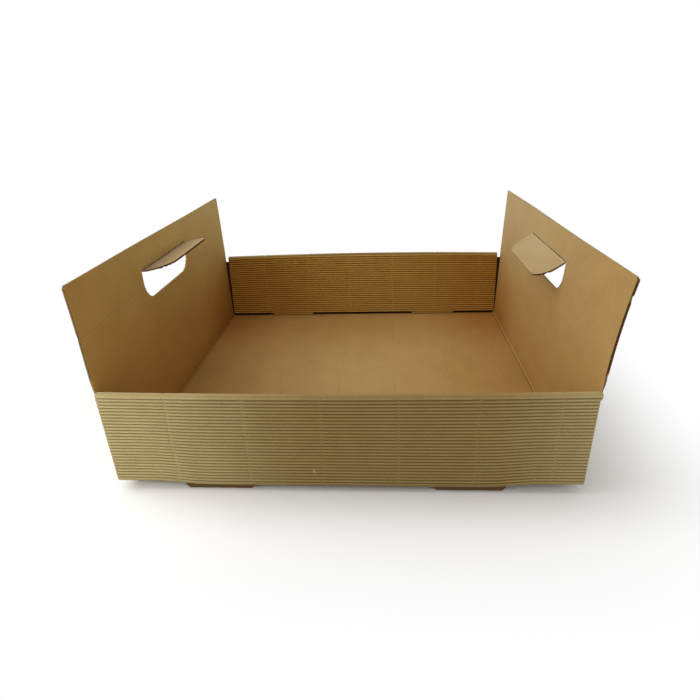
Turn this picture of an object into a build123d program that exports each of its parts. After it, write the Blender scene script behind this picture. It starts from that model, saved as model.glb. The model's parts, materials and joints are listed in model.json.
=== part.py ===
# Cardboard tray box, folded from one sheet of single-face corrugated board.
# Millimetres, +Z up, front at -Y. The origin is under the middle of the tray, where its tabs stand.
import os
from math import cos, radians, sin, tan

from build123d import *

# Board: a smooth liner inside and open flutes outside
liner_thickness = 0.5
flute_height = 1.3
flute_pitch = 3.2
crease_thickness = 1.0
crease_width = 2.4

# Tray
base_width = 400.0
base_depth = 416.0
wall_height = 92.0
wall_lean = 2.5
roll_width = 6.2
wall_foot_gap = 4.0

# Locking tabs at the feet of the inner walls, and their slots in the base
tab_length = 62.0
tab_centre_x = 106.0
tab_drop = 8.0
tab_chamfer = 4.0
slot_clearance = 0.6

# Raised ends
end_height = 180.0
left_end_lean = 2.6
right_end_lean = 4.0
end_side_clearance = 1.0
end_shoulder_reach = 2.2
end_shoulder_gap = 1.5
end_shoulder_rise = 5.0
end_top_reach = 2.8
end_corner_radius = 2.0

# Corner flaps, trapped inside the double walls
corner_flap_length = 60.0
corner_flap_thickness = 1.5
corner_flap_clearance = 0.35
corner_flap_top_drop = 7.0
corner_flap_foot_gap = 3.0

# Hand holes, each with the flap that was cut from it
hole_width = 128.0
hole_height = 31.5
hole_corner_radius = 20.5
hole_drop = 27.5
left_hole_shift_y = -12.0
right_hole_shift_y = -4.0
flap_kerf = 0.3
left_flap_angle = 98.0
right_flap_angle = 53.0

# Cutting solids run this far past what they cut
overrun = 5.0

board_thickness = liner_thickness + flute_height
base_top = tab_drop + board_thickness
half_width = base_width / 2
half_depth = base_depth / 2
wall_slope = tan(radians(wall_lean))


def flute_side(start, along, outward, length):
    """Points of the fluted face over one straight panel, between its two crushed ends."""
    count = int((length - 2 * crease_width) / flute_pitch)
    margin = (length - count * flute_pitch) / 2

    def place(distance, offset):
        return start + along * distance + outward * offset

    points = [place(0, crease_thickness)]
    if count > 0:
        points.append(place(margin, liner_thickness))
    for index in range(count):
        foot = margin + index * flute_pitch
        points.append(place(foot + flute_pitch / 2, board_thickness))
        points.append(place(foot + flute_pitch, liner_thickness))
    points.append(place(length, crease_thickness))
    return points


def strip_face(plane, liner_line):
    """Section of folded board: the liner follows liner_line, and the flutes stand on its right."""
    flutes = []
    for start, end in zip(liner_line, liner_line[1:]):
        along = (end - start).normalized()
        outward = Vector(along.Y, -along.X)
        flutes += flute_side(start, along, outward, (end - start).length)
    outline = [tuple(point)[:2] for point in liner_line + flutes[::-1]]
    return make_face(plane * Polyline(*outline, close=True))


def wall_points(side):
    """Liner line of one roll-over wall, from its base fold to the inner panel's foot, as (y, z)."""
    lean = Vector(side * sin(radians(wall_lean)), cos(radians(wall_lean)))
    fold = Vector(side * (half_depth - board_thickness), base_top)
    outer_top = fold + lean * (wall_height - board_thickness)
    inner_top = outer_top - Vector(side * (roll_width - 2 * board_thickness), 0)
    foot_drop = inner_top.Y - base_top - wall_foot_gap
    foot = inner_top - lean * (foot_drop / lean.Y)
    return [fold, outer_top, inner_top, foot]


def base_and_walls():
    """Base and both roll-over walls: one section, with the flutes running along X."""
    front = wall_points(-1)
    rear = wall_points(1)
    body = extrude(strip_face(Plane.YZ, front[::-1] + rear), amount=half_width, both=True)
    for side in (-1, 1):
        body -= mirror_to(side, end_room())
    for side in (-1, 1):
        for tab_side in (-1, 1):
            body -= slot(side, tab_side)
            body += tab(side, tab_side)
    return body


def end_room():
    """Room for a raised end: what the base and the inner walls fall short of the outer walls' ends."""
    inset = board_thickness + (roll_width - 2 * board_thickness) / 2
    top = base_top + wall_height + overrun
    low_y = half_depth - inset - base_top * wall_slope
    high_y = low_y + top * wall_slope
    section = Polyline((-low_y, 0), (low_y, 0), (high_y, top), (-high_y, top), close=True)
    depth = board_thickness + end_side_clearance
    room = extrude(make_face(Plane.YZ * section), amount=depth + overrun)
    return Pos(half_width - depth, 0, 0) * room


def mirror_to(side, shape):
    """The shape as modelled on the +X side, or its mirror image on the -X side."""
    return shape if side > 0 else mirror(shape, about=Plane.YZ)


def tab(side, tab_side):
    """A locking tab with chamfered ends, straight down from the inner panel's foot to the ground."""
    foot = wall_points(side)[-1]
    root_y = foot.X + side * crease_width * wall_slope
    root_z = foot.Y + crease_width
    tip_y = foot.X - side * board_thickness
    root_face_y = root_y - side * crease_thickness
    liner_line = [(foot.X, 0), (foot.X, foot.Y), (root_y, root_z)]
    fluted_line = [(root_face_y, root_z), (tip_y, foot.Y), (tip_y, 0)]
    section = Polyline(*liner_line, *fluted_line, close=True)
    tongue = extrude(make_face(Plane.YZ * section), amount=tab_length / 2, both=True)
    half = tab_length / 2
    outline = Polyline(
        (-half, root_z),
        (-half, tab_chamfer),
        (-half + tab_chamfer, 0),
        (half - tab_chamfer, 0),
        (half, tab_chamfer),
        (half, root_z),
        close=True,
    )
    tongue &= extrude(make_face(Plane.XZ * outline), amount=base_depth, both=True)
    return Pos(tab_side * tab_centre_x, 0, 0) * tongue


def slot(side, tab_side):
    """The slot in the base that a locking tab passes through."""
    foot = wall_points(side)[-1]
    centre_y = foot.X - side * board_thickness / 2
    cutter = Box(tab_length + 2 * slot_clearance, board_thickness + 2 * slot_clearance, base_top)
    return Pos(tab_side * tab_centre_x, centre_y, base_top / 2 + crease_thickness) * cutter


def hole_outline(shrink):
    """A hand hole, or the flap cut from it when shrunk by the kerf, in (y, rise) with the hinge at rise 0."""
    half = hole_width / 2 - shrink
    foot = shrink - hole_height
    outline = Polyline((-half, foot), (half, foot), (half, -shrink), (-half, -shrink), close=True)
    face = make_face(Plane.YZ * outline)
    low_corners = face.vertices().sort_by(Axis.Z)[:2]
    return fillet(low_corners, hole_corner_radius - shrink)


def end_outline():
    """Flat outline of a raised end, in (y, rise) above its fold to the base."""
    side_y = half_depth - board_thickness - corner_flap_clearance
    neck = wall_height + end_shoulder_gap
    neck_y = side_y + neck * wall_slope
    shoulder_y = half_depth + end_shoulder_reach
    top_y = half_depth + end_top_reach
    right = [
        (side_y + crease_width * wall_slope, crease_width),
        (neck_y, neck),
        (shoulder_y, neck + end_shoulder_rise),
        (top_y, end_height),
    ]
    left = [(-y, rise) for y, rise in right[::-1]]
    face = make_face(Plane.YZ * Polyline(*right, *left, close=True))
    top_corners = face.vertices().sort_by(Axis.Z)[-2:]
    return fillet(top_corners, end_corner_radius)


def fluted_panel(half_length, foot, top):
    """Flat upright panel: liner at x 0, flutes towards +X and running up, between two heights."""
    line = [Vector(0, -half_length), Vector(0, half_length)]
    return extrude(Plane.XY.offset(foot) * strip_face(Plane.XY, line), amount=top - foot)


def end_panel(hole_shift_y):
    """A raised end before it is folded up, with its hand hole cut out."""
    panel = fluted_panel(half_depth + end_top_reach, crease_width, end_height)
    panel &= extrude(end_outline(), amount=board_thickness)
    cutter = extrude(hole_outline(0), amount=board_thickness + overrun, both=True)
    return panel - Pos(0, hole_shift_y, end_height - hole_drop) * cutter


def end_fold():
    """The crushed fold between the base and a raised end, with the end still upright."""
    side_y = half_depth - board_thickness - corner_flap_clearance
    inner = -end_side_clearance
    profile = Polyline(
        (inner, 0),
        (0, 0),
        (0, crease_width),
        (crease_thickness, crease_width),
        (crease_thickness, 0),
        (0, -crease_thickness),
        (inner, -crease_thickness),
        close=True,
    )
    return extrude(make_face(Plane.XZ * profile), amount=side_y, both=True)


def corner_flap(side, lean):
    """A corner flap, folded from the upright edge of a raised end into the wall's hollow."""
    low = corner_flap_foot_gap
    high = wall_height - corner_flap_top_drop
    end_slope = tan(radians(lean))
    reach = board_thickness - crease_thickness
    outline = Polyline(
        (reach + low * end_slope, low),
        (reach + high * end_slope, high),
        (-corner_flap_length, high),
        (-corner_flap_length, low),
        close=True,
    )
    plate = extrude(make_face(Plane.XZ * outline), amount=corner_flap_thickness)
    near_y = half_depth - board_thickness - corner_flap_clearance
    plate = Pos(0, -near_y + corner_flap_thickness, 0) * plate
    hinge = Axis((0, -near_y, 0), (1, 0, 0))
    plate = plate.rotate(hinge, wall_lean)
    return plate if side < 0 else mirror(plate, about=Plane.XZ)


def raised_end(side, lean, hole_shift_y):
    """One raised end with its fold and its two corner flaps, leaning out by lean degrees."""
    fold_line = Axis((0, 0, 0), (0, 1, 0))
    upright = end_panel(hole_shift_y).rotate(fold_line, lean)
    pieces = [upright, end_fold(), corner_flap(-1, lean), corner_flap(1, lean)]
    place = Pos(half_width - board_thickness, 0, base_top)
    return [mirror_to(side, place * piece) for piece in pieces]


def handle_flap(side, lean, hole_shift_y, angle):
    """The flap of one hand hole, swung inwards by angle degrees about its top edge."""
    panel = fluted_panel(hole_width / 2 - flap_kerf, -hole_height, -flap_kerf)
    panel &= extrude(hole_outline(flap_kerf), amount=board_thickness)
    hinge = Axis((0, 0, 0), (0, 1, 0))
    panel = Pos(0, hole_shift_y, end_height - hole_drop) * panel.rotate(hinge, angle)
    panel = panel.rotate(hinge, lean)
    return mirror_to(side, Pos(half_width - board_thickness, 0, base_top) * panel)


os.makedirs("parts", exist_ok=True)

tray = base_and_walls()
for piece in raised_end(-1, left_end_lean, left_hole_shift_y):
    tray += piece
for piece in raised_end(1, right_end_lean, right_hole_shift_y):
    tray += piece
left_flap = handle_flap(-1, left_end_lean, left_hole_shift_y, left_flap_angle)
right_flap = handle_flap(1, right_end_lean, right_hole_shift_y, right_flap_angle)

export_step(tray, "parts/tray.step")
export_step(left_flap, "parts/left_handle_flap.step")
export_step(right_flap, "parts/right_handle_flap.step")
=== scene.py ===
import json
import math

import bmesh
import bpy
import numpy as np
from mathutils import Matrix, Vector


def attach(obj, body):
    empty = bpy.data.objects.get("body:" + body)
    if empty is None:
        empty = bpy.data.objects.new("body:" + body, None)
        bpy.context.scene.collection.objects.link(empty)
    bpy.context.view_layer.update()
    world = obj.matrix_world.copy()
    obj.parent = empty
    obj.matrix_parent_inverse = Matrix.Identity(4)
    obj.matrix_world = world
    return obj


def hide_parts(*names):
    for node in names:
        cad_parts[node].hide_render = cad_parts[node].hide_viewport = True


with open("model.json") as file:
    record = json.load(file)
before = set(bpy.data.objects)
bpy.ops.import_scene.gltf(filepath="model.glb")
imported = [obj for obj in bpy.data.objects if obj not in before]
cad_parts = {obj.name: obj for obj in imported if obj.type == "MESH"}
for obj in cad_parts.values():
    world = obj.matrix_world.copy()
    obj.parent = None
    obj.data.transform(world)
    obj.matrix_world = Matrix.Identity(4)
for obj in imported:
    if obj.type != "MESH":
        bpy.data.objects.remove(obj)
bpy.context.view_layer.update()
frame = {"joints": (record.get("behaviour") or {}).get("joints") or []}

# Metres, in the tray's own frame: front at -Y, ground at Z 0. The sheet is single-face corrugated board.
# "along" runs with the flutes and "across" over them, both measured on the flat blank from its middle.
board = {
    "pitch": 0.0032,
    "liner": 0.00045,
    "thickness": 0.0018,
    "paper": 0.00022,
    "crestPower": 0.72,  # under 1 gives broad crests and narrow glue lines
    "foldRadius": 0.0005,
    "leastFold": math.radians(20.0),  # a line that turns by less isn't rounded
    "creaseReach": 0.0021,
    "creaseLeft": 0.38,  # height left in the flutes on a crease
    "sharpAngle": math.radians(62.0),
}


def smooth(low, high, value):
    share = np.clip((value - low) / (high - low), 0.0, 1.0)
    return share * share * (3.0 - 2.0 * share)


def bell(offset, reach, power=2):
    return np.exp(-np.abs(offset / reach) ** power)


# A folded line in a plane: straight runs with rounded folds, asked for by its length from a start
class FoldedLine:
    def __init__(self, corners, radius, arcSteps=6):
        corners = [np.array(c, float) for c in corners]
        self.folds = []
        points, normals = [], []

        def outward(direction):
            return np.array((direction[1], -direction[0]))

        for index, corner in enumerate(corners):
            before = corner - corners[index - 1] if index else corners[1] - corner
            after = corners[index + 1] - corner if index + 1 < len(corners) else before
            before = before / np.linalg.norm(before)
            after = after / np.linalg.norm(after)
            turn = math.atan2(before[0] * after[1] - before[1] * after[0], float(before @ after))
            if abs(turn) < board["leastFold"]:
                points.append(corner)
                normals.append(outward(before + after) / np.linalg.norm(before + after))
                continue
            reach = radius * math.tan(abs(turn) / 2.0)
            first = corner - before * reach
            centre = first - outward(before) * radius
            for step in range(arcSteps + 1):
                angle = turn * step / arcSteps
                spin = np.array(((math.cos(angle), -math.sin(angle)), (math.sin(angle), math.cos(angle))))
                normal = spin @ outward(before)
                points.append(centre + normal * radius)
                normals.append(normal)
            self.folds.append(len(points) - 1 - arcSteps // 2)
        self.points = np.array(points)
        self.normals = np.array(normals)
        lengths = np.linalg.norm(np.diff(self.points, axis=0), axis=1)
        self.length = np.concatenate([[0.0], np.cumsum(lengths)])
        self.folds = [self.length[index] for index in self.folds]

    def startAt(self, length):
        self.length = self.length - length
        self.folds = [fold - length for fold in self.folds]

    def at(self, length, height):
        px = np.interp(length, self.length, self.points[:, 0])
        py = np.interp(length, self.length, self.points[:, 1])
        nx = np.interp(length, self.length, self.normals[:, 0])
        ny = np.interp(length, self.length, self.normals[:, 1])
        norm = np.sqrt(nx * nx + ny * ny)
        return px + nx / norm * height, py + ny / norm * height


# Slow changes in the flutes' height, as waves in radians per metre along and across
uneven = {
    "share": 0.07,
    "first": (61.0, 173.0),
    "second": (23.0, 89.0, 1.3),  # and a phase
    "flute": (211.0, 2.4),  # along each flute, and a phase from one flute to the next
    "fluteShare": 0.6,
}


def fluteNumber(across):
    return np.floor(across / board["pitch"] + 0.5)


# Height of the fluted paper over the liner's inner face, where "left" is what crushing has left of it
def fluteHeight(across, along, left):
    wave = (0.5 + 0.5 * np.cos(2.0 * math.pi * across / board["pitch"])) ** board["crestPower"]
    first, second, flute = uneven["first"], uneven["second"], uneven["flute"]
    drift = np.sin(along * first[0] + across * first[1])
    drift = drift * np.sin(along * second[0] - across * second[1] + second[2])
    drift = drift + uneven["fluteShare"] * np.sin(along * flute[0] + fluteNumber(across) * flute[1])
    swell = 1.0 + uneven["share"] * (drift - 1.0) / 2.0
    rise = board["thickness"] - board["liner"] - board["paper"]
    return board["liner"] + board["paper"] + rise * wave * left * swell


# Marks left by the corrugator's fingers, which wander and fade from flute to flute
fingers = {
    "step": 0.0635,
    "start": -0.144,
    "reach": 0.001,
    "left": 0.45,
    "wander": 0.00045,
    "quickTurn": 1.9,  # radians per flute
    "slowTurn": 0.37,
    "slowShare": 0.6,
    "fade": 0.35,
    "fadeTurns": (2.7, 1.7),  # radians per flute and per mark
}


def fingerLeft(along, across):
    step = fingers["step"]
    flute = fluteNumber(across)
    sway = np.sin(flute * fingers["quickTurn"]) + fingers["slowShare"] * np.sin(flute * fingers["slowTurn"])
    place = along + fingers["wander"] * sway - fingers["start"]
    offset = np.mod(place + step / 2.0, step) - step / 2.0
    perFlute, perMark = fingers["fadeTurns"]
    depth = 1.0 + fingers["fade"] * np.sin(flute * perFlute + np.round(along / step) * perMark)
    return 1.0 - (1.0 - fingers["left"]) * np.clip(depth, 0.0, 1.0) * bell(offset, fingers["reach"])


def creaseLeft(length, folds, reach=board["creaseReach"]):
    left = np.ones_like(length)
    for fold in folds:
        left = left * (1.0 - (1.0 - board["creaseLeft"]) * bell(length - fold, reach, power=4))
    return left


# How finely the sheet is cut up
cutting = {
    "step": 0.014,
    "fingerSpan": 2.4,  # in reaches of a finger mark
    "foldStep": 0.0004,
    "foldSteps": (-6.0, -3.5, -2.0, -1.0, -0.5, 0.0, 0.5, 1.0, 2.0, 3.5, 6.0),
    "bendSteps": (-0.8, -0.4, 0.0, 0.4, 0.8),  # in fold radii
    "cornerTurn": 6,  # degrees between the cuts at a hole's corner
    "leastAlong": 0.00015,
    "leastAcross": 0.00008,
    "wallRows": 7,  # rows for each flute, or for as much of the liner
    "baseRows": 6,
    "endRows": 5,
    "flapRows": 7,
    "linerRows": 1,
    "tabLinerRows": 4,
    "flapLinerRows": 2,
}


# Places to cut the sheet at along the flutes: even steps, with more at the finger marks and at folds
def alongStops(low, high, fingerSteps=3, folds=()):
    count = max(2, int((high - low) / cutting["step"]))
    stops = list(np.linspace(low, high, count + 1))
    start, step = fingers["start"], fingers["step"]
    shares = np.linspace(-1.0, 1.0, 2 * fingerSteps + 1)
    for mark in range(math.ceil((low - start) / step), math.floor((high - start) / step) + 1):
        middle = start + mark * step
        stops += [middle + share * cutting["fingerSpan"] * fingers["reach"] for share in shares]
    for fold in folds:
        stops += [fold + steps * cutting["foldStep"] for steps in cutting["foldSteps"]]
    return tidyStops(stops, low, high, cutting["leastAlong"])


def acrossStops(low, high, perFlute, extra=()):
    step = board["pitch"] / perFlute
    stops = [index * step for index in range(math.ceil(low / step), math.floor(high / step) + 1)]
    return tidyStops(stops + list(extra), low, high, cutting["leastAcross"])


def tidyStops(stops, low, high, nearest):
    kept = [low]
    for stop in sorted(stops):
        if stop - kept[-1] > nearest and stop < high - nearest:
            kept.append(stop)
    return np.array(kept + [high])


linerFace, fluteFace, cutEdge = 0, 1, 2  # places in a piece's list of papers


# Gathers closed slabs of paper into one mesh, with "flat" (along, across, mark) on its points.
# The mark is the score and the painted light and shade on a liner, and what is left of the flutes on a fluted
# paper.
class SheetMesh:
    def __init__(self):
        self.points = []
        self.flats = []
        self.faces = []
        self.papers = []
        self.count = 0

    def slab(self, upper, lower, along, across, mark, paper, cuts):
        rows, columns = along.shape
        flat = np.stack([along, across, mark], -1).reshape(-1, 3)
        self.points += [upper.reshape(-1, 3), lower.reshape(-1, 3)]
        self.flats += [flat, flat]
        top = self.count + np.arange(rows * columns).reshape(rows, columns)
        low = top + rows * columns
        self.count += 2 * rows * columns
        quads = [self.quads(top), self.quads(low)[:, ::-1]]
        sides = ((top[0], low[0]), (top[-1], low[-1]), (top[:, 0], low[:, 0]), (top[:, -1], low[:, -1]))
        for edgeTop, edgeLow in sides:
            quads.append(np.stack([edgeTop[:-1], edgeLow[:-1], edgeLow[1:], edgeTop[1:]], -1))
        for index, group in enumerate(quads):
            self.papers.append(np.full(len(group), cutEdge if index - 2 in cuts else paper))
        self.faces.append(np.concatenate(quads))

    def quads(self, grid):
        return np.stack([grid[:-1, :-1], grid[1:, :-1], grid[1:, 1:], grid[:-1, 1:]], -1).reshape(-1, 4)

    def build(self, name, papers, body, replaced):
        points = np.concatenate(self.points)
        faces = np.concatenate(self.faces)
        mesh = bpy.data.meshes.new(name)
        mesh.from_pydata(points.tolist(), [], faces.tolist())
        flat = mesh.attributes.new("flat", "FLOAT_VECTOR", "POINT")
        flat.data.foreach_set("vector", np.concatenate(self.flats).ravel().astype(np.float32))
        for paper in papers:
            mesh.materials.append(paper)
        mesh.polygons.foreach_set("material_index", np.concatenate(self.papers).astype(np.int32))
        work = bmesh.new()
        work.from_mesh(mesh)
        bmesh.ops.recalc_face_normals(work, faces=work.faces)
        work.to_mesh(mesh)
        work.free()
        mesh.polygons.foreach_set("use_smooth", np.ones(len(mesh.polygons), bool))
        mesh.set_sharp_from_angle(angle=board["sharpAngle"])
        piece = bpy.data.objects.new(name, mesh)
        bpy.context.scene.collection.objects.link(piece)
        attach(piece, body)
        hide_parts(replaced)
        print(name, "has", len(mesh.polygons) * 2, "triangles")


# One patch of board: rows over the flutes, columns along them, between limits that may change by the row.
# "left" gives what crushing leaves of the flutes, "score" the liner's lines and its painted light and shade,
# pale over 0 and dark under it.
# Sides 0 and 1 are the first and last row, 2 and 3 the first and last column: those in "cuts" are dark.
def patch(mesh, place, rows, linerRows, low, high, stops, left, score, cuts=(0, 1)):
    def grid(rowStops):
        lowest = np.array([low(row) for row in rowStops])[:, None]
        highest = np.array([high(row) for row in rowStops])[:, None]
        shares = ((stops - stops[0]) / (stops[-1] - stops[0]))[None, :]
        along = lowest + (highest - lowest) * shares
        across = np.repeat(np.array(rowStops)[:, None], len(stops), 1)
        return along, across

    along, across = grid(linerRows)
    linerTop = place(along, across, board["liner"])
    mesh.slab(linerTop, place(along, across, 0.0), along, across, score(along, across), linerFace, cuts)
    along, across = grid(rows)
    kept = left(along, across) * fingerLeft(along, across)
    height = fluteHeight(across, along, kept)
    under = place(along, across, height - board["paper"])
    mesh.slab(place(along, across, height), under, along, across, kept, fluteFace, cuts)


def noScore(along, across):
    return np.zeros_like(along)


tray = {
    "halfWidth": 0.2,
    "halfDepth": 0.208,
    "seam": 0.0055,  # the raised ends' sheet starts this far inside the base's sides
    "wallHeight": 0.092,
    "wallLean": math.radians(2.5),
    "rollWidth": 0.0062,
    "footGap": 0.004,
    "tabDrop": 0.008,
    "tabHalf": 0.031,
    "tabCentres": {-1: (-0.1095, 0.1065), 1: (-0.106, 0.1075)},  # front and rear, as rolled over by hand
    "tabChamfer": 0.0035,
    "tabLeft": 0.7,
    # painted shade on the tabs' liner, under the walls
    "tabMark": -0.72,
    "slotClear": 0.0006,
    "rollReach": 0.0009,  # flutes crushed this near the two top folds
    "sag": 0.0036,  # the base's front edge hangs down between the tabs
    "sagEnds": (0.165, 0.118),
    "sagStart": 0.08,
    "earReach": 0.0014,  # the roll sticks out at the front wall's right end
    "earWidth": 0.0052,
    "earFull": 0.7,
    "rearRight": 0.0006,
    "foldReach": 0.0003,  # over this much of its fold, the base's end becomes the wall's
    "shade": 0.007,  # painted shade in the hollow inside the walls' folds
    "shadeMark": -0.95,
}

# How far the top of each wall is off its plain height, at its middle and at both ends.
# "slope" is added at the right end and taken off at the left.
frontTop = {"middle": -0.005, "ends": -0.0028, "slope": 0.0}
rearTop = {"middle": 0.0031, "ends": 0.0005, "slope": -0.0005}

# The section through base and walls, from the front tab's tip to the rear one's, as (y, z)
baseTop = tray["tabDrop"] + board["thickness"]


def wallCorners(side):
    lean = np.array((side * math.sin(tray["wallLean"]), math.cos(tray["wallLean"])))
    fold = np.array((side * (tray["halfDepth"] - board["thickness"]), baseTop))
    outerTop = fold + lean * (tray["wallHeight"] - board["thickness"])
    innerTop = outerTop - np.array((side * (tray["rollWidth"] - 2.0 * board["thickness"]), 0.0))
    foot = innerTop - lean * ((innerTop[1] - baseTop - tray["footGap"]) / lean[1])
    return [fold, outerTop, innerTop, foot, np.array((foot[0], 0.0))]


section = FoldedLine(wallCorners(-1)[::-1] + wallCorners(1), board["foldRadius"])
section.startAt(section.length[-1] / 2.0)
foldS, outerTopS, innerTopS = [fold for fold in section.folds if fold > 0.0]
tipS = section.length[-1]
footS = tipS - wallCorners(1)[3][1]
slotOuter = wallCorners(1)[3][0] + tray["slotClear"]
slotInner = slotOuter - board["thickness"] - 2.0 * tray["slotClear"]
foldStops = []
for fold in section.folds:
    foldStops += [fold + share * board["foldRadius"] for share in cutting["bendSteps"]]
seamX = tray["halfWidth"] - tray["seam"]

# How far the walls reach from the middle, from the base up and over to the foot: front and rear
wallEnds = {
    "base": {-1: 0.1995, 1: 0.1996},
    "outerLow": {-1: 0.1995, 1: 0.1995},
    "outerHigh": {-1: 0.2006, 1: 0.2},
    "roll": {-1: 0.2, 1: 0.1997},
    "innerHigh": {-1: 0.1988, 1: 0.1994},
    "innerLow": {-1: 0.1985, 1: 0.1988},
}


def wallLift(along, across):
    s, share = np.abs(across), along / tray["halfWidth"]
    sag = tray["sag"] * smooth(*tray["sagEnds"], np.abs(along)) * (across < 0.0)
    low = smooth(tray["sagStart"], foldS, s) * np.interp(s, (foldS, outerTopS), (1.0, 0.0))
    high = np.interp(s, (foldS, outerTopS, innerTopS, footS), (0.0, 1.0, 1.0, 0.0))
    tops = []
    for top in (frontTop, rearTop):
        rise = top["ends"] + (top["middle"] - top["ends"]) * (1.0 - share * share)
        tops.append(rise + top["slope"] * share)
    return high * np.where(across < 0.0, tops[0], tops[1]) - low * sag


def sectionPlace(along, across, height):
    y, z = section.at(across, height)
    return np.stack([along, y, z + wallLift(along, across)], -1)


def sectionLeft(along, across):
    s = np.abs(across)
    return creaseLeft(s, [foldS]) * creaseLeft(s, [outerTopS, innerTopS], tray["rollReach"])


# The liner is painted dark as shade where it lies in the walls' hollow
def sectionShade(along, across):
    s = np.abs(across)
    return tray["shadeMark"] * bell(s - foldS, tray["shade"], power=4) * (s > slotOuter)


def wallEnd(across):
    s, side = abs(across), -1 if across < 0.0 else 1
    reach = tray["foldReach"]
    places = (foldS - reach, foldS + reach, outerTopS, (outerTopS + innerTopS) / 2.0, innerTopS, footS)
    return np.interp(s, places, [wallEnds[key][side] for key in wallEnds])


def wallEndLeft(across):
    return -wallEnd(across)


def wallEndRight(across):
    if across > 0.0:
        return wallEnd(across) + tray["rearRight"]
    width, reach = tray["earWidth"], tray["earReach"]
    places = (outerTopS - width, outerTopS - width * tray["earFull"], outerTopS, innerTopS)
    return wallEnd(across) + np.interp(-across, places, (0.0, reach, reach, 0.0))


def tabHalf(across):
    return tray["tabHalf"] - max(0.0, tray["tabChamfer"] - (tipS - abs(across)))


def tabLeft(along, across):
    return np.full_like(along, tray["tabLeft"])


# The tabs' liner is painted dark as shade under the walls
def tabShade(along, across):
    return np.full_like(along, tray["tabMark"])


def makeWall(name, side, papers):
    mesh = SheetMesh()
    low, high = sorted((side * slotOuter, side * footS))
    rows = acrossStops(low, high, cutting["wallRows"], foldStops)
    linerRows = acrossStops(low, high, cutting["linerRows"], foldStops)
    stops = alongStops(-tray["halfWidth"], tray["halfWidth"])
    patch(mesh, sectionPlace, rows, linerRows, wallEndLeft, wallEndRight, stops, sectionLeft, sectionShade)
    low, high = sorted((side * footS, side * tipS))
    rows = acrossStops(low, high, cutting["wallRows"])
    linerRows = acrossStops(low, high, cutting["tabLinerRows"])
    for centre in tray["tabCentres"][side]:
        stops = alongStops(centre - tray["tabHalf"], centre + tray["tabHalf"])
        patch(mesh, sectionPlace, rows, linerRows,
              lambda s: centre - tabHalf(s), lambda s: centre + tabHalf(s), stops, tabLeft, tabShade)
    mesh.build(name, papers, "tray", "tray")


def makeBase(name, papers):
    mesh = SheetMesh()

    def strip(lowY, highY, lowX, highX):
        rows = acrossStops(lowY, highY, cutting["baseRows"])
        linerRows = acrossStops(lowY, highY, cutting["linerRows"])
        stops = alongStops(lowX, highX, fingerSteps=1)
        patch(mesh, sectionPlace, rows, linerRows,
              lambda s: lowX, lambda s: highX, stops, sectionLeft, noScore)

    strip(-slotInner, slotInner, -seamX, seamX)
    slotHalf = tray["tabHalf"] + tray["slotClear"]
    for side in (-1, 1):
        lowY, highY = sorted((side * slotInner, side * slotOuter))
        first, second = tray["tabCentres"][side]
        strip(lowY, highY, -seamX, first - slotHalf)
        strip(lowY, highY, first + slotHalf, second - slotHalf)
        strip(lowY, highY, second + slotHalf, seamX)
    mesh.build(name, papers, "tray", "tray")


# Raised ends: the flutes run up them, over the fold from the base
end = {
    "height": 0.18,
    "sideClear": 0.00035,
    "halfTop": 0.2108,
    "cornerRadius": 0.002,
    "flapTop": 0.0845,  # the corner flaps stop here, and the side edge swings out above
    "swingRise": 0.016,
    "swingPower": 1.7,
    "flapLength": 0.06,
    "flapFoot": 0.0007,
    "flapThickness": 0.0015,
    "flapGrid": (15, 9),
    "flapMark": 2.0,  # paints the corner flaps with the cut edge's paper, nearly black as shade in the walls' hollow
    "stiffHalf": 0.07,  # the part around the hand hole stays flat
    "flareReach": 0.003,
    "scoreReach": 0.00042,
    "shadowMark": 0.6,  # a dark line on the base's side of the fold
    "shadowOff": 0.0014,
    "shadowReach": 0.0006,
    "hingeCrush": 0.0008,  # the flutes are crushed this far above a hand hole
    "hingeReach": 0.001,
}

# How far each end bows out of its plane at its front and rear edges: half-way up, and at the top.
# "foldOut" is how far its fold lies outside the plain one: front, middle and rear.
leftEnd = {
    "side": -1,
    "lean": math.radians(2.6),
    "front": (-0.0027, -0.0016),
    "rear": (0.0009, 0.0015),
    "foldOut": (0.0014, 0.0037, 0.0023),
    # painted shade in the fold's crease, dark under 0
    "score": -0.75,
    "flare": 0.0,
    "holeShift": -0.012,
}
rightEnd = {
    "side": 1,
    "lean": math.radians(4.0),
    "front": (-0.005, 0.0016),
    "rear": (-0.0003, -0.0017),
    "foldOut": (0.0012, 0.0016, 0.002),
    # a painted highlight on the fold's crease, pale over 0
    "score": 0.52,
    "flare": 0.45,  # the cut flutes stand off at the front and rear edges
    "holeShift": -0.004,
}

hole = {"half": 0.064, "height": 0.0315, "radius": 0.0205, "drop": 0.0275}


def endLine(lean):
    foldX = tray["halfWidth"] - board["thickness"]
    top = (foldX + end["height"] * math.sin(lean), baseTop + end["height"] * math.cos(lean))
    return FoldedLine([(0.0, baseTop), (foldX, baseTop), top], board["foldRadius"])


def cornerCut(distance, radius):
    inset = min(max(distance, 0.0), radius)
    return radius - math.sqrt(radius * radius - inset * inset)


def holeFloor(offset, kerf=0.0):
    return kerf + cornerCut(abs(offset) - (hole["half"] - hole["radius"]), hole["radius"] - kerf)


# Places to cut the sheet at over the flutes, so that a hole's corners come out round
def holeStops(shift, kerf=0.0):
    flat, radius = hole["half"] - hole["radius"], hole["radius"] - kerf
    reaches = [flat + radius * math.sin(math.radians(angle)) for angle in range(0, 90, cutting["cornerTurn"])]
    return [shift + way * reach for way in (-1, 1) for reach in reaches]


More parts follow.
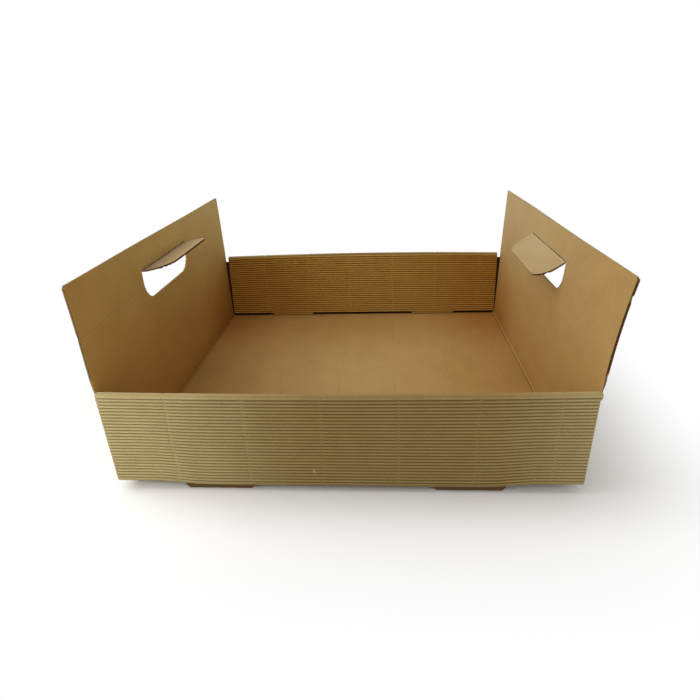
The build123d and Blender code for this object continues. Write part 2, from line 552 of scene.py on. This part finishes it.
def makeEnd(name, look, papers):
    mesh = SheetMesh()
    side, line = look["side"], endLine(look["lean"])
    foldV, topV = line.folds[0], line.length[-1]
    slope = math.tan(tray["wallLean"])
    sideY = tray["halfDepth"] - board["thickness"] - end["sideClear"]
    flapY = sideY + end["flapTop"] * slope
    hinge = topV - hole["drop"]
    holeLow = hinge - hole["height"]
    shift = look["holeShift"]

    def bow(y, rise):
        share = np.clip(rise / end["height"], 0.0, 1.0)
        total = 0.0
        for (dip, tip), far in ((look["front"], -end["halfTop"]), (look["rear"], end["halfTop"])):
            weight = smooth(math.copysign(end["stiffHalf"], far), far, y)
            total = total + weight * (dip * 4.0 * share * (1.0 - share) + tip * share ** 3)
        return total

    def foldOut(y, v):
        share = np.interp(v, (seamX, foldV, hinge), (0.0, 1.0, 0.0))
        front, middle, rear = look["foldOut"]
        place = np.clip(y / end["halfTop"], -1.0, 1.0)
        tilt, curve = (rear - front) / 2.0, (rear + front) / 2.0 - middle
        return share * (middle + tilt * place + curve * place * place)

    def place(along, across, height):
        v = np.abs(along)
        x, z = line.at(v, height)
        return np.stack([side * (x + bow(across, v - foldV) + foldOut(across, v)), across, z], -1)

    def atHole(across):
        return np.abs(across - shift) < hole["half"]

    def left(along, across):
        v = np.abs(along)
        edge = smooth(end["halfTop"] - end["flareReach"], end["halfTop"], np.abs(across))
        overHole = np.where(atHole(across), creaseLeft(v, [hinge + end["hingeCrush"]]), 1.0)
        return (1.0 + look["flare"] * edge) * creaseLeft(v, [foldV]) * overHole

    def score(along, across):
        v = np.abs(along)
        # the fold's score: painted shade on the left end, a painted highlight on the right
        fold = look["score"] * bell(v - foldV, end["scoreReach"])
        shadow = end["shadowMark"] * bell(v - foldV + end["shadowOff"], end["shadowReach"])
        return fold - shadow - atHole(across) * bell(v - hinge, end["hingeReach"])

    def foot(y):
        reach = abs(y)
        if reach <= slotOuter:
            return seamX
        if reach <= sideY:
            return foldV + board["liner"]
        if reach <= flapY:
            return foldV + board["liner"] + (reach - sideY) / slope * (1.0 - board["liner"] / end["flapTop"])
        share = min(1.0, (reach - flapY) / (end["halfTop"] - flapY))
        return foldV + end["flapTop"] + end["swingRise"] * share ** end["swingPower"]

    def top(y):
        return topV - cornerCut(abs(y) - (end["halfTop"] - end["cornerRadius"]), end["cornerRadius"])

    def panel(lowY, highY, lowV, highV, lowest, highest, extra=()):
        rows = acrossStops(lowY, highY, cutting["endRows"], extra)
        linerRows = acrossStops(lowY, highY, cutting["linerRows"], extra)
        if side > 0:
            stops = alongStops(lowest, highest, folds=(foldV, hinge))
            patch(mesh, place, rows, linerRows, lowV, highV, stops, left, score)
        else:
            stops = alongStops(-highest, -lowest, folds=(-foldV, -hinge))
            patch(mesh, place, rows, linerRows, lambda y: -highV(y), lambda y: -lowV(y), stops, left, score)

    near, far = shift - hole["half"], shift + hole["half"]
    panel(-end["halfTop"], near, foot, top, seamX, topV)
    panel(far, end["halfTop"], foot, top, seamX, topV)
    panel(near, far, foot, lambda y: holeLow + holeFloor(y - shift), seamX, holeLow, holeStops(shift))
    panel(near, far, lambda y: hinge, top, hinge, topV)

    # corner flaps, flat inside the hollow walls, painted nearly black as shade
    rows, columns = end["flapGrid"]
    heights = np.linspace(end["flapFoot"], end["flapTop"], rows)
    rises, shares = np.meshgrid(heights, np.linspace(0.0, 1.0, columns), indexing="ij")
    for flapSide in (-1, 1):
        outerY = flapSide * (sideY + rises * slope)
        nearX = tray["halfWidth"] - board["thickness"] + rises * math.sin(look["lean"]) + bow(outerY, rises)
        nearX = nearX + foldOut(outerY, foldV + rises)
        x = side * (nearX - end["flapLength"] * shares)
        innerY = outerY - flapSide * end["flapThickness"]
        upper = np.stack([x, outerY, baseTop + rises], -1)
        lower = np.stack([x, innerY, baseTop + rises], -1)
        mesh.slab(upper, lower, x, rises, np.full_like(x, end["flapMark"]), cutEdge, ())
    mesh.build(name, papers, "tray", "tray")


# Hand-hole flaps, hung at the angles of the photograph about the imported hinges
flap = {
    "kerf": 0.0003,
    "hingeGap": 0.00005,
    "bow": 0.0012,
    "flare": 0.3,  # the cut flutes stand off at the free edge
    "flareReach": 0.0035,
    "stops": 14,
    "hingeStops": (0.0008, 0.0016),
    "leastStop": 0.0002,
    "hingeMark": 0.9,  # a dark line on the hinge and a pale one below it
    "paleMark": 0.7,
    "paleOff": 0.0014,
    "markReach": 0.0006,
    "shadeReach": 0.016,
}
leftFlap = {"end": leftEnd, "angle": math.radians(98.0), "shade": 0.45}  # painted shade, darker towards its hinge
rightFlap = {"end": rightEnd, "angle": math.radians(53.0), "shade": 0.0}


def makeFlap(name, look, body, node, papers):
    mesh = SheetMesh()
    side, shift = look["end"]["side"], look["end"]["holeShift"]
    turned = look["angle"] + look["end"]["lean"]
    hinge = endLine(look["end"]["lean"]).length[-1] - hole["drop"]
    pivot = [joint for joint in frame["joints"] if joint["child"] == body][0]["pos_m"]

    def place(along, across, height):
        drop = np.abs(along) - hinge
        out = height - flap["bow"] * (drop / hole["height"]) ** 2
        x = out * math.cos(turned) + drop * math.sin(turned)
        z = drop * math.cos(turned) - out * math.sin(turned)
        return np.stack([pivot[0] + side * x, across, pivot[2] + z], -1)

    def freeV(y):
        return hinge - hole["height"] + holeFloor(y - shift, flap["kerf"])

    def free(y):
        return side * freeV(y)

    def hung(y):
        return side * (hinge - flap["hingeGap"])

    def left(along, across):
        inset = np.abs(along) - np.vectorize(freeV)(across)
        flare = 1.0 + flap["flare"] * smooth(flap["flareReach"], 0.0, inset)
        return creaseLeft(np.abs(along), [hinge]) * flare

    def score(along, across):
        inset = hinge - np.abs(along)
        pale = flap["paleMark"] * bell(inset - flap["paleOff"], flap["markReach"])
        dark = flap["hingeMark"] * bell(inset, flap["markReach"])
        return pale - dark - look["shade"] * smooth(flap["shadeReach"], 0.0, inset)

    near, far = shift - hole["half"] + flap["kerf"], shift + hole["half"] - flap["kerf"]
    low, high = (free, hung) if side > 0 else (hung, free)
    ends = sorted((side * (hinge - hole["height"]), side * hinge))
    stops = list(np.linspace(*ends, flap["stops"]))
    stops += [side * (hinge - inset) for inset in flap["hingeStops"]]
    stops = tidyStops(stops, *ends, flap["leastStop"])
    corners = holeStops(shift, flap["kerf"])
    rows = acrossStops(near, far, cutting["flapRows"], corners)
    linerRows = acrossStops(near, far, cutting["flapLinerRows"], corners)
    patch(mesh, place, rows, linerRows, low, high, stops, left, score, (0, 1, 2, 3))
    mesh.build(name, papers, body, node)


# Shader maths on sockets: an expression on values adds its Math nodes
class Wire:
    def __init__(self, tree, socket):
        self.tree = tree
        self.socket = socket

    def math(self, operation, first, second):
        return shadeNode(self.tree, "ShaderNodeMath", {"operation": operation}, {0: first, 1: second})

    def __add__(self, other):
        return self.math("ADD", self, other)

    def __radd__(self, other):
        return self.math("ADD", other, self)

    def __sub__(self, other):
        return self.math("SUBTRACT", self, other)

    def __rsub__(self, other):
        return self.math("SUBTRACT", other, self)

    def __mul__(self, other):
        return self.math("MULTIPLY", self, other)

    def __rmul__(self, other):
        return self.math("MULTIPLY", other, self)

    def __truediv__(self, other):
        return self.math("DIVIDE", self, other)

    def __rtruediv__(self, other):
        return self.math("DIVIDE", other, self)


# Any other node: its type, its settings, and its inputs as values or wires
def shadeNode(tree, kind, settings, inputs, output=0):
    node = tree.nodes.new(kind)
    for key, value in settings.items():
        setattr(node, key, value)
    for key, value in inputs.items():
        if isinstance(value, Wire):
            tree.links.new(value.socket, node.inputs[key])
        else:
            node.inputs[key].default_value = value
    return Wire(tree, node.outputs[output])


def shadeSurface(tree, kind, surface):
    tree.links.new(surface.socket, tree.nodes.new(kind).inputs["Surface"])


def band(value, low, high):
    return shadeNode(value.tree, "ShaderNodeMapRange", {"interpolation_type": "SMOOTHSTEP"},
                     {"Value": value, "From Min": low, "From Max": high})


mixFirst, mixSecond, mixResult = 6, 7, 2  # the sockets of a Mix node that take and give colours


def mixColours(mode, factor, first, second):
    return shadeNode(factor.tree, "ShaderNodeMix", {"data_type": "RGBA", "blend_type": mode},
                     {0: factor, mixFirst: first, mixSecond: second}, mixResult)


def blend(factor, first, second):
    return mixColours("MIX", factor, first, second)


def tint(factor, tone, shade):
    return mixColours("MULTIPLY", factor, tone, shade)


def magnitude(value):
    return shadeNode(value.tree, "ShaderNodeMath", {"operation": "ABSOLUTE"}, {0: value})


def fluteWave(across):
    turn = across * (2.0 * math.pi / board["pitch"])
    return shadeNode(across.tree, "ShaderNodeMath", {"operation": "COSINE"}, {0: turn})


def colour(red, green, blue):
    def linear(value):
        value = value / 255.0
        return value / 12.92 if value <= 0.04045 else ((value + 0.055) / 1.055) ** 2.4
    return (linear(red), linear(green), linear(blue), 1.0)


# What all papers share: the sizes of their noises on the flat blank, and how these are mixed
kraft = {
    "clouds": {"alongSize": 0.024, "acrossSize": 0.04, "detail": 4.0},
    "crossFibres": {"alongSize": 0.00045, "acrossSize": 0.003, "detail": 3.0},
    "longFibres": {"alongSize": 0.0021, "acrossSize": 0.00045, "detail": 2.0},
    "specks": {"alongSize": 0.0013, "acrossSize": 0.00325, "detail": 2.0},
    "grain": 0.6,
    "crossShare": 0.6,
    "longShare": 0.4,
    "cloudShare": 0.2,
    "fibreShare": 0.8,
    "paleBand": (0.34, 0.64),
    "speckBand": (0.66, 0.78),
    "speckDepth": 0.45,
    "roughLow": 0.76,
    "roughHigh": 0.94,
    "bumpStrength": 0.5,
    "bumpDistance": 0.00006,
    "specular": 0.25,
}


def noise(along, across, alongSize, acrossSize, detail):
    place = shadeNode(along.tree, "ShaderNodeCombineXYZ", {}, {0: along / alongSize, 1: across / acrossSize})
    return shadeNode(along.tree, "ShaderNodeTexNoise", {"noise_dimensions": "2D"},
                     {"Vector": place, "Scale": 1.0, "Detail": detail, "Roughness": kraft["grain"]})


# A paper with the place on the flat blank, the mark there, and its fibres
def startPaper(name):
    paper = bpy.data.materials.new(name)
    paper.use_nodes = True
    tree = paper.node_tree
    tree.nodes.clear()
    flat = shadeNode(tree, "ShaderNodeAttribute", {"attribute_name": "flat"}, {}, "Vector")
    along, across, mark = [shadeNode(tree, "ShaderNodeSeparateXYZ", {}, {0: flat}, part) for part in range(3)]
    fibres = noise(along, across, **kraft["crossFibres"]) * kraft["crossShare"]
    fibres = fibres + noise(along, across, **kraft["longFibres"]) * kraft["longShare"]
    return paper, along, across, mark, fibres


def kraftTone(look, shade, along, across, fibres):
    pale, deep = look[shade]
    clouds = noise(along, across, **kraft["clouds"])
    specks = noise(along, across, **kraft["specks"])
    mixed = clouds * kraft["cloudShare"] + fibres * kraft["fibreShare"]
    tone = blend(band(mixed, *kraft["paleBand"]), deep, pale)
    return blend(band(specks, *kraft["speckBand"]) * kraft["speckDepth"], tone, look["speck"])


def finishPaper(paper, tone, fibres, relief):
    tree = paper.node_tree
    bump = shadeNode(tree, "ShaderNodeBump", {}, {
        "Strength": kraft["bumpStrength"],
        "Distance": kraft["bumpDistance"],
        "Height": relief,
    })
    skin = shadeNode(tree, "ShaderNodeBsdfPrincipled", {}, {
        "Base Color": tone,
        "Roughness": kraft["roughLow"] + fibres * (kraft["roughHigh"] - kraft["roughLow"]),
        "Specular IOR Level": kraft["specular"],
        "Normal": bump,
    })
    shadeSurface(tree, "ShaderNodeOutputMaterial", skin)
    return paper


# The left end's liner is a shaded copy, warmer and darker than the rest as painted shade, and the flaps' is a
# lit copy, greyer as painted light.
# Bands are where an effect fades in, in metres on the flat blank or in values of its mark.
linerLook = {
    "plain": (colour(185, 148, 88), colour(169, 130, 72)),  # pale and deep kraft
    # a shaded copy for the left end: warmer and darker, as painted shade
    "warm": (colour(185, 142, 71), colour(169, 125, 56)),
    # a lit copy for the flaps: greyer, as painted light
    "flap": (colour(180, 149, 98), colour(164, 131, 80)),
    "speck": colour(118, 86, 44),
    # pale for scores and painted highlights, dark for scores and painted shade
    "scorePale": colour(216, 186, 132),
    "scoreDark": colour(66, 42, 18),
    "paleBand": (0.1, 1.0),
    "paleDepth": 0.7,
    "darkBand": (-0.1, -1.0),
    "fingersBefore": 40.0,  # enough to start left of the sheet
    "fingerBand": (0.0011, 0.0002),
    "fingerDepth": 0.3,
    "fingerDent": 0.8,
    "fingerFade": (0.37, 0.26),
    "rimStart": (0.0009, 0.0014),
    "rimStop": (0.0016, 0.0024),
    "rimDepth": 0.16,
    "fluteShow": 0.35,  # the flutes show through the liner as slight waves
    "endBand": (0.2, 0.22),
    "deep": (0.72, 0.53, 0.28, 1.0),  # painted shade: browner in the tray's corners and at the rear
    "cornerBand": (0.12, 0.0),
    "cornerDeep": 0.4,
    "cornerEndLess": 0.2,
    "rearBand": (0.05, 0.18),
    "rearLow": (0.3, 0.22),
    "rearDeep": 0.36,
    "rearCornerDeep": 0.3,
    "grey": (1.4, 1.85, 2.9, 1.0),  # painted light: greyer and paler towards the ends' rear top corners and in the base's middle
    "high": {"plain": 0.65, "warm": 1.0, "flap": 0.6},
    "highBand": (0.24, 0.37),
    "highRear": (-0.3, 0.15),
    "middleBand": (0.06, 0.19),
    "middleFront": (0.16, 0.0),
    "middleGrey": 0.2,
}


def makeLinerPaper(shade):
    look = linerLook
    paper, along, across, mark, fibres = startPaper("liner_" + shade)
    step = fingers["step"]
    offset = shadeNode(along.tree, "ShaderNodeMath", {"operation": "PINGPONG"},
                       {0: along - (fingers["start"] - step * look["fingersBefore"]), 1: step / 2.0})
    fade = band(along, *look["fingerFade"])
    finger = band(offset, *look["fingerBand"]) * fade
    rim = (band(offset, *look["rimStart"]) - band(offset, *look["rimStop"])) * fade
    tone = kraftTone(look, shade, along, across, fibres)
    tone = blend(finger * fibres * look["fingerDepth"], tone, look["speck"])
    tone = blend(rim * fibres * look["rimDepth"], tone, look["scorePale"])
    reach = magnitude(along)
    fold = magnitude(reach - tray["halfWidth"])
    onEnd = band(reach, *look["endBand"])
    corner = band(fold, *look["cornerBand"])
    rear = band(across, *look["rearBand"]) * band(reach, *look["rearLow"])
    # painted shade in the tray's corners and at the rear
    deep = corner * (look["cornerDeep"] - onEnd * look["cornerEndLess"])
    deep = deep + rear * (look["rearDeep"] + corner * look["rearCornerDeep"])
    # painted light high on the ends' rear and in the base's middle
    high = band(reach, *look["highBand"]) * band(across, *look["highRear"]) * look["high"][shade]
    middle = band(fold, *look["middleBand"]) * band(across, *look["middleFront"])
    middle = middle * (look["middleGrey"] - onEnd * look["middleGrey"])
    tone = tint(high + middle, tint(deep, tone, look["deep"]), look["grey"])
    # marks over 0 paint pale scores and highlights, under 0 dark scores and shade
    tone = blend(band(mark, *look["paleBand"]) * look["paleDepth"], tone, look["scorePale"])
    tone = blend(band(mark, *look["darkBand"]), tone, look["scoreDark"])
    relief = fibres + fluteWave(across) * look["fluteShow"] - finger * look["fingerDent"]
    return finishPaper(paper, tone, fibres, relief)


fluteLook = {
    "plain": (colour(193, 179, 130), colour(177, 160, 108)),
    "speck": colour(126, 100, 57),
    # painted shade in the flutes' valleys, deeper on the inner panels
    "valley": colour(110, 76, 34),
    "valleyBand": (0.15, -0.95),
    "valleyLeft": (0.2, 0.9),
    "valleyDepth": 0.7,
    "valleyInner": 0.3,
    "crushed": colour(174, 150, 100),
    "crushedDepth": 0.7,
    "brown": (0.7, 0.59, 0.44, 1.0),  # painted shade half-way along the outer walls
    "brownMiddle": 0.045,
    "brownBand": (0.21, 0.06),
    "inner": (1.27, 0.97, 0.46, 1.0),  # painted shade, warmer, on the rolled-over panels inside the tray
    "innerReach": 0.002,
    # painted shade towards the inner panels' ends
    "innerEnds": (0.89, 0.76, 0.58, 1.0),
    "innerMiddle": 0.01,
    "innerEndsBand": (0.03, 0.17),
    # where the flutes flare at a cut edge: partly darker cut paper, partly painted shade in the open flute
    # ends
    "cut": colour(104, 68, 34),
    "cutBand": (1.0, 1.25),
    "scuff": colour(182, 168, 136),  # a small scrape low on the front wall
    "scuffPlace": (-0.025, -0.2216),
    "scuffTurn": (0.64, 0.77),
    "scuffReach": (0.0021, 0.0009),
    "scuffBand": (1.3, 0.2),
}


def makeFlutePaper():
    look = fluteLook
    paper, along, across, mark, fibres = startPaper("flute")
    inner = band(magnitude(across), innerTopS, innerTopS + look["innerReach"])
    # painted shade in the flutes' valleys
    valley = band(fluteWave(across), *look["valleyBand"]) * band(mark, *look["valleyLeft"])
    valley = valley * (look["valleyDepth"] + inner * look["valleyInner"])
    tone = blend(valley, kraftTone(look, "plain", along, across, fibres), look["valley"])
    tone = blend((1.0 - mark) * look["crushedDepth"], tone, look["crushed"])
    # painted shade half-way along the outer walls
    brown = band(magnitude(along - look["brownMiddle"]), *look["brownBand"]) * (1.0 - inner)
    tone = tint(inner, tint(brown, tone, look["brown"]), look["inner"])
    # painted shade on the inner panels, more towards their ends
    innerEnds = band(magnitude(along - look["innerMiddle"]), *look["innerEndsBand"]) * inner
    tone = tint(innerEnds, tone, look["innerEnds"])
    tone = blend(band(mark, *look["cutBand"]), tone, look["cut"])
    aside, off = along - look["scuffPlace"][0], across - look["scuffPlace"][1]
    cosine, sine = look["scuffTurn"]
    length = (aside * cosine + off * sine) / look["scuffReach"][0]
    width = (aside * sine - off * cosine) / look["scuffReach"][1]
    tone = blend(band(length * length + width * width, *look["scuffBand"]), tone, look["scuff"])
    return finishPaper(paper, tone, fibres, fibres)


edgeLook = {
    # cut edges: partly the core paper's own darker brown, partly painted shade
    "pale": colour(98, 68, 36),
    "deep": colour(66, 44, 22),
    "fibreBand": (0.35, 0.65),
    # painted shade: nearly black in the walls' hollow
    "hollow": colour(50, 33, 16),
    "hollowBand": (1.7, 2.0),
}


def makeCutEdge():
    paper, along, across, mark, fibres = startPaper("cut_edge")
    tone = blend(band(fibres, *edgeLook["fibreBand"]), edgeLook["deep"], edgeLook["pale"])
    # painted shade on the corner flaps in the walls' hollow
    tone = blend(band(mark, *edgeLook["hollowBand"]), tone, edgeLook["hollow"])
    return finishPaper(paper, tone, fibres, fibres)


liners = {shade: makeLinerPaper(shade) for shade in ("plain", "warm", "flap")}
flutePaper = makeFlutePaper()
cutPaper = makeCutEdge()
plainPapers = [liners["plain"], flutePaper, cutPaper]
shadedPapers = [liners["warm"], flutePaper, cutPaper]
flapPapers = [liners["flap"], flutePaper, cutPaper]
print("papers ready")

makeBase("tray_base", plainPapers)
makeWall("tray_front_wall", -1, plainPapers)
makeWall("tray_rear_wall", 1, plainPapers)
makeEnd("tray_left_end", leftEnd, shadedPapers)
makeEnd("tray_right_end", rightEnd, plainPapers)
makeFlap("left_hole_flap", leftFlap, "left_flap", "left_handle_flap", flapPapers)
makeFlap("right_hole_flap", rightFlap, "right_flap", "right_handle_flap", flapPapers)
print("tray folded")

# Pale floor, soft light and the photograph's camera
studio = {
    "floorSize": 6.0,
    "floorTone": 0.8,
    "shadowHalf": (0.2, 0.208, 0.0),  # the floor shows the tray's shadow around this footprint
    "whiteReach": 0.16,  # and is plain white this far from it
    "white": (1.0, 1.0, 1.0, 1.0),
    "skyStrength": 0.43,
    "aim": (0.0, 0.0, 0.08),
}

lamps = {
    "overhead": {"place": (-0.25, 0.0, 1.5), "size": 1.2, "power": 5.8},
    "left": {"place": (-1.3, -0.1, 1.1), "size": 0.8, "power": 8.8},
    "front_left": {"place": (-0.36, -0.36, 0.16), "size": 0.12, "power": 0.39},
    "front_right": {"place": (0.38, -0.36, 0.14), "size": 0.12, "power": 0.18},
}


# One for rays that show the background itself: seen by the camera, in a reflection or through glass
def seenRay(tree):
    seen = 0.0
    for ray in ("Is Camera Ray", "Is Glossy Ray", "Is Transmission Ray"):
        seen = seen + shadeNode(tree, "ShaderNodeLightPath", {}, {}, ray)
    return shadeNode(tree, "ShaderNodeMath", {"operation": "MINIMUM"}, {0: seen, 1: 1.0})


# How far a point of the floor lies outside the tray's footprint
def footprintDistance(tree):
    place = shadeNode(tree, "ShaderNodeNewGeometry", {}, {}, "Position")
    kind, inside = "ShaderNodeVectorMath", (0.0, 0.0, 0.0)
    place = shadeNode(tree, kind, {"operation": "ABSOLUTE"}, {0: place})
    place = shadeNode(tree, kind, {"operation": "SUBTRACT"}, {0: place, 1: studio["shadowHalf"]})
    place = shadeNode(tree, kind, {"operation": "MAXIMUM"}, {0: place, 1: inside})
    return shadeNode(tree, kind, {"operation": "LENGTH"}, {0: place}, "Value")


def makeFloor():
    mesh = bpy.data.meshes.new("floor")
    half = studio["floorSize"] / 2.0
    corners = [(-half, -half, 0.0), (half, -half, 0.0), (half, half, 0.0), (-half, half, 0.0)]
    mesh.from_pydata(corners, [], [(0, 1, 2, 3)])
    floor = bpy.data.objects.new("floor", mesh)
    bpy.context.scene.collection.objects.link(floor)
    paint = bpy.data.materials.new("floor_paint")
    paint.use_nodes = True
    tree = paint.node_tree
    tree.nodes.clear()
    seen = seenRay(tree)
    tone = studio["floorTone"] + seen * (1.0 - studio["floorTone"])
    grey = shadeNode(tree, "ShaderNodeCombineColor", {}, {0: tone, 1: tone, 2: tone})
    matt = shadeNode(tree, "ShaderNodeBsdfPrincipled", {}, {
        "Base Color": grey,
        "Roughness": 1.0,
        "Specular IOR Level": 0.0,
    })
    white = shadeNode(tree, "ShaderNodeEmission", {}, {"Color": studio["white"], "Strength": 1.0})
    far = band(footprintDistance(tree), 0.0, studio["whiteReach"])
    mix = shadeNode(tree, "ShaderNodeMixShader", {}, {0: far * seen, 1: matt, 2: white})
    shadeSurface(tree, "ShaderNodeOutputMaterial", mix)
    mesh.materials.append(paint)


def makeLamp(name, place, size, power):
    light = bpy.data.lights.new(name, "AREA")
    light.size = size
    light.energy = power
    lamp = bpy.data.objects.new(name, light)
    lamp.location = place
    lamp.rotation_euler = (Vector(studio["aim"]) - Vector(place)).to_track_quat("-Z", "Y").to_euler()
    bpy.context.scene.collection.objects.link(lamp)


def makeSky():
    world = bpy.data.worlds.new("sky")
    bpy.context.scene.world = world
    world.use_nodes = True
    tree = world.node_tree
    tree.nodes.clear()
    strength = studio["skyStrength"] + seenRay(tree) * (1.0 - studio["skyStrength"])
    sky = shadeNode(tree, "ShaderNodeBackground", {}, {"Color": studio["white"], "Strength": strength})
    shadeSurface(tree, "ShaderNodeOutputWorld", sky)


view = {
    "place": (0.0366, -0.591, 0.3074),
    "pitch": math.radians(22.867),
    "yaw": math.radians(-4.431),
    "roll": math.radians(-2.214),
    "focal": 549.6,  # in pixels of the 700 pixel frame
    "middle": (346.5, 336.9),
    "frame": 700.0,
    "sensor": 36.0,
    "clipStart": 0.01,
}


def makeCamera():
    pitch, yaw, roll = view["pitch"], view["yaw"], view["roll"]
    ahead = Vector((math.sin(yaw) * math.cos(pitch), math.cos(yaw) * math.cos(pitch), -math.sin(pitch)))
    right = Vector((math.cos(yaw), -math.sin(yaw), 0.0))
    up = right.cross(ahead)
    tiltRight = math.cos(roll) * right + math.sin(roll) * up
    tiltUp = -math.sin(roll) * right + math.cos(roll) * up
    lens = bpy.data.cameras.new("camera")
    lens.sensor_width = view["sensor"]
    lens.lens = lens.sensor_width * view["focal"] / view["frame"]
    lens.shift_x = (view["frame"] / 2.0 - view["middle"][0]) / view["frame"]
    lens.shift_y = (view["middle"][1] - view["frame"] / 2.0) / view["frame"]
    lens.clip_start = view["clipStart"]
    camera = bpy.data.objects.new("camera", lens)
    turn = Matrix((tiltRight, tiltUp, -ahead)).transposed().to_4x4()
    camera.matrix_world = Matrix.Translation(view["place"]) @ turn
    bpy.context.scene.collection.objects.link(camera)
    bpy.context.scene.camera = camera


makeFloor()
for name, lamp in lamps.items():
    makeLamp(name, lamp["place"], lamp["size"], lamp["power"])
makeSky()
makeCamera()
bpy.context.scene.view_settings.view_transform = "Standard"
print("studio ready")
